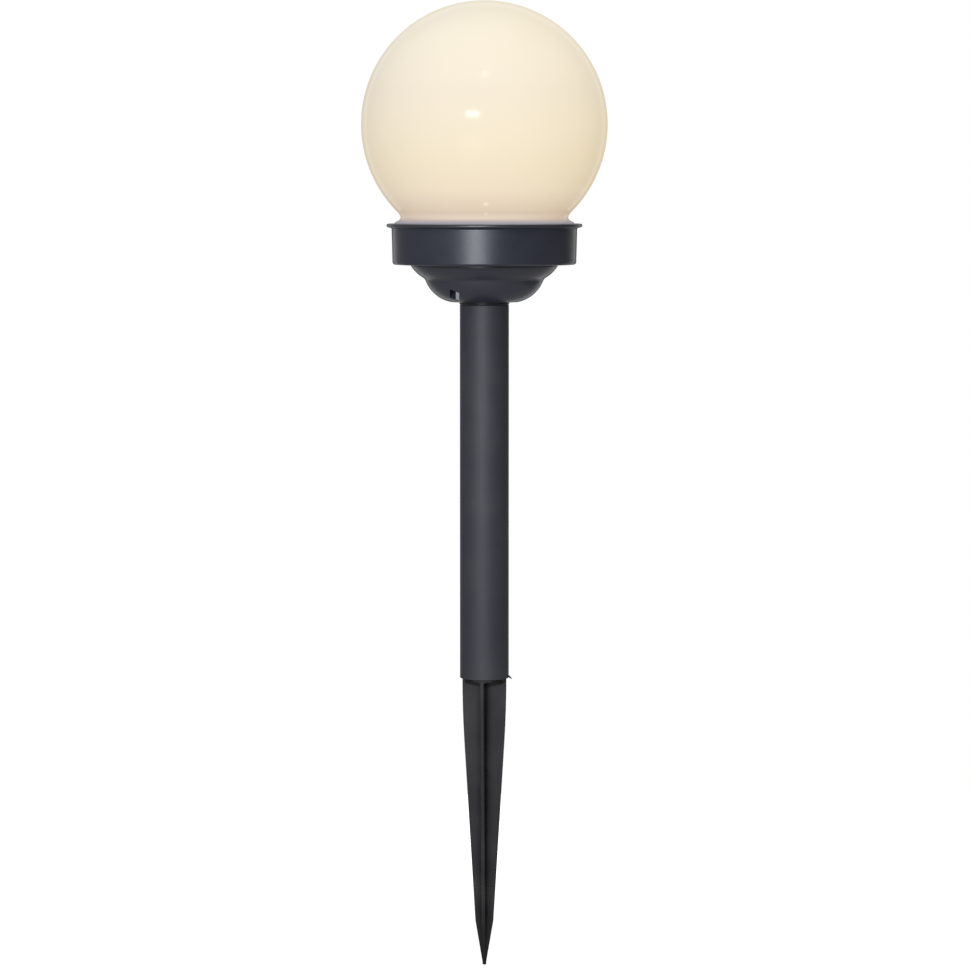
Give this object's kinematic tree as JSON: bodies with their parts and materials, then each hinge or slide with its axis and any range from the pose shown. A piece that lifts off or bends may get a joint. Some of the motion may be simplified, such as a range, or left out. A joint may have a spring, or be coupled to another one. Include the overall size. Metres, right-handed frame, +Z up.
{
  "type": "garden globe light",
  "caption": "Opal ball light on a stepped dark drum, carried by a round tube on a four-fin ground spike; solar cell, battery and lamps sit inside.",
  "frame": {"origin": "on the light's axis at the ground line, the lower end of the pole tube", "axes": "+Z up along the pole, -Y towards the front, +X to the front viewer's right"},
  "size_m": [0.12, 0.12, 0.4748],
  "materials": {
    "opal_plastic": "glossy opal thermoplastic, warm white",
    "anthracite_plastic": "satin moulded, anthracite",
    "black_plastic": "satin moulded, black",
    "white_plastic": "moulded, off white",
    "grey_plastic": "moulded, pale grey",
    "seal_rubber": "soft, matt",
    "board": "glass-fibre board with green mask",
    "solar_cell": "blue-black silicon",
    "clear_resin": "clear potting resin",
    "led_resin": "clear resin, warm",
    "steel": "zinc-plated steel",
    "cell_can": "wrapped can, plain green",
    "copper_wire": "insulated wire"
  },
  "bodies": {
    "spike": {"ground_spike": "black_plastic"},
    "pole": {"pole_tube": "anthracite_plastic"},
    "adaptor": {"pole_adaptor": "black_plastic"},
    "head": {"base_housing": "anthracite_plastic", "housing_gasket": "seal_rubber", "carrier_plate": "white_plastic", "plate_screws": "steel", "solar_panel_board": "board", "solar_cells": "solar_cell", "panel_resin": "clear_resin", "panel_wires": "copper_wire", "led_lenses": "led_resin", "led_leads": "steel", "circuit_board": "board", "board_screws": "steel", "driver_chip": "black_plastic", "inductor": "black_plastic", "capacitor": "cell_can", "battery_holder": "black_plastic", "holder_screws": "steel", "battery_cell": "cell_can", "negative_contact": "steel", "positive_contact": "steel", "battery_spring": "steel", "switch_frame": "steel", "switch_body": "black_plastic", "switch_terminals": "steel", "battery_wires": "copper_wire", "switch_wires": "copper_wire"},
    "seal": {"neck_seal": "seal_rubber"},
    "globe": {"globe": "opal_plastic"},
    "switch_knob": {"switch_knob": "grey_plastic"}
  },
  "joints": [
    {"name": "tube_pull", "type": "slide", "parent": "spike", "child": "pole", "axis": [0, 0, 1], "range_m": [0, 0.024]},
    {"name": "head_pull", "type": "slide", "parent": "pole", "child": "adaptor", "axis": [0, 0, 1], "range_m": [0, 0.02]},
    {"name": "head_swivel", "type": "hinge", "parent": "adaptor", "child": "head", "pos_m": [0, 0, 0.185], "axis": [0, 0, 1], "continuous": true},
    {"name": "globe_lift", "type": "slide", "parent": "head", "child": "seal", "axis": [0, 0, 1], "range_m": [0, 0.004]},
    {"name": "globe_twist", "type": "hinge", "parent": "seal", "child": "globe", "pos_m": [0, 0, 0.2138], "axis": [0, 0, 1], "range_deg": [0, 60]},
    {"name": "switch_slide", "type": "slide", "parent": "head", "child": "switch_knob", "axis": [-0.9225, 0.2148, 0.3206], "range_m": [0, 0.0028]}
  ],
  "couplings": [
    {"joint": "globe_lift", "follows": "globe_twist", "m_per_rad": 0.0038197}
  ]
}
